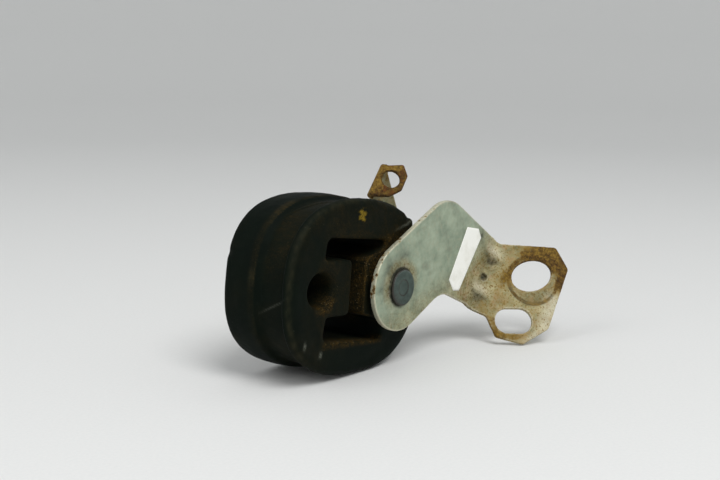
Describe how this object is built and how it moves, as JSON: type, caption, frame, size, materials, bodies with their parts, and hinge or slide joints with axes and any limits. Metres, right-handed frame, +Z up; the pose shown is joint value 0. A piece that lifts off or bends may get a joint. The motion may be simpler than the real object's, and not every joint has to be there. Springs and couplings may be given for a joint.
{
  "type": "exhaust pipe bracket",
  "caption": "Moulded rubber exhaust hanger with a pin bore, riveted between two pressed steel plates that end in slotted, bent fixing flanges",
  "frame": {"origin": "centre of the bounding box in x and y, at the table it lies on in z", "axes": "+X from the pin bore towards the flange, +Y from the front plate into the rubber, +Z up as the part lies at rest"},
  "size_m": [0.15, 0.0742, 0.0746],
  "materials": {
    "black_rubber": "matt moulded rubber with dried road dirt",
    "plain_steel": "plain turned steel, dull",
    "rivet_steel": "dark blue-grey steel with a grimy edge",
    "zinc_plated_steel": "dull zinc plating, brown with rust on the flange",
    "rusted_steel": "zinc plating worn through to brown rust"
  },
  "bodies": {
    "root": {"rubber_block": "black_rubber", "spacer_sleeve": "plain_steel", "rivet": "rivet_steel", "front_plate": "zinc_plated_steel", "rear_plate": "rusted_steel"}
  },
  "joints": []
}
